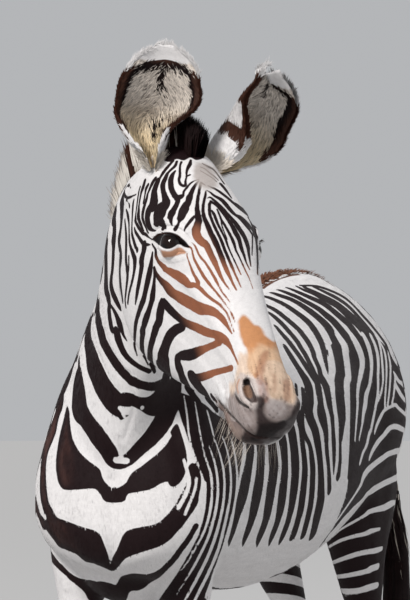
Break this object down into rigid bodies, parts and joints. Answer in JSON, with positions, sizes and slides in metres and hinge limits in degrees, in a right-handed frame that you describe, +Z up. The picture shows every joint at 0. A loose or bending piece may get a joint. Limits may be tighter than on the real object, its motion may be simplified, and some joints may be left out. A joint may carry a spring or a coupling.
{
  "type": "grevy's zebra",
  "caption": "Life-size standing zebra with narrow stripes, large round ears and an upright mane, its head turned to its left.",
  "frame": {"origin": "centre of the bounding box's footprint, at the level of the four soles", "axes": "+Z up, the animal faces -Y, its left side is +X; +Y points to the rump and is the longest extent, +X the shortest"},
  "size_m": [0.876, 2.0344, 1.9205],
  "materials": {
    "coat": "short dense hair, brown-black stripes on cream",
    "ear_coat": "fine hair, dark rim and cream inside",
    "mane_hair": "stiff upright hair in brown and white bands",
    "tail_hair": "long dark hair",
    "hoof": "satin horn with growth rings",
    "eye": "wet gloss, dark brown"
  },
  "bodies": {
    "root": {"fore_right_upper": "coat", "fore_right_lower": "coat", "fore_right_hoof": "hoof", "fore_left_upper": "coat", "fore_left_lower": "coat", "fore_left_hoof": "hoof", "hind_right_upper": "coat", "hind_right_lower": "coat", "hind_right_hoof": "hoof", "hind_left_upper": "coat", "hind_left_lower": "coat", "hind_left_hoof": "hoof", "trunk": "coat", "neck": "coat", "head": "coat", "tail_dock": "coat", "mane": "mane_hair", "ear_right": "ear_coat", "ear_left": "ear_coat", "eye_right": "eye", "eye_left": "eye", "tail_tuft": "tail_hair"}
  },
  "joints": []
}
